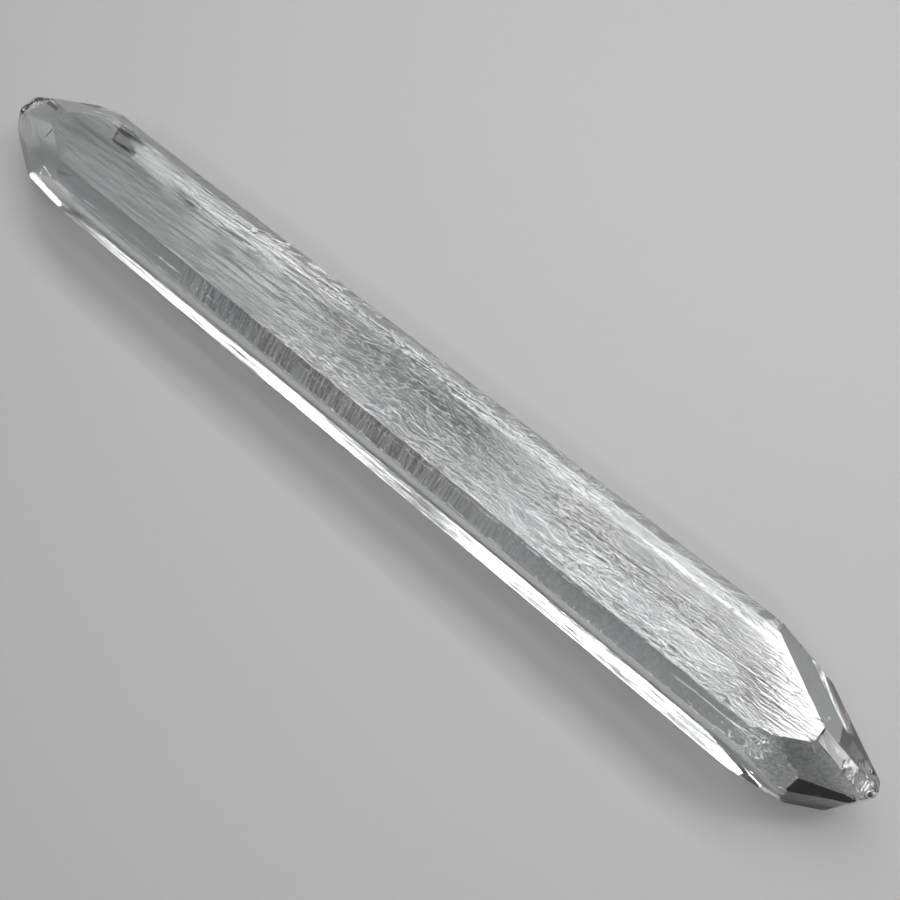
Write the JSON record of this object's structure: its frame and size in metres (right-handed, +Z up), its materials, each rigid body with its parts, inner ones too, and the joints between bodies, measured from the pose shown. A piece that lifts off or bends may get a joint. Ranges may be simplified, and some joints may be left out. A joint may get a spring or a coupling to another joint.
{
  "type": "synthetic quartz crystal",
  "caption": "Clear man-made quartz bar grown as one crystal, with bevelled long edges and faceted wedge-shaped ends, lying on a flat face.",
  "frame": {"origin": "middle of the resting face's level: midway along the bar and midway between its two side faces, at the lowest point", "axes": "+X along the bar towards its wider end, +Y across the bar, +Z up out of the broad growth face"},
  "size_m": [0.24, 0.0239, 0.026],
  "materials": {
    "quartz": "clear natural growth faces, bright and slightly cobbled, with fine growth steps"
  },
  "bodies": {
    "root": {"crystal": "quartz"}
  },
  "joints": []
}
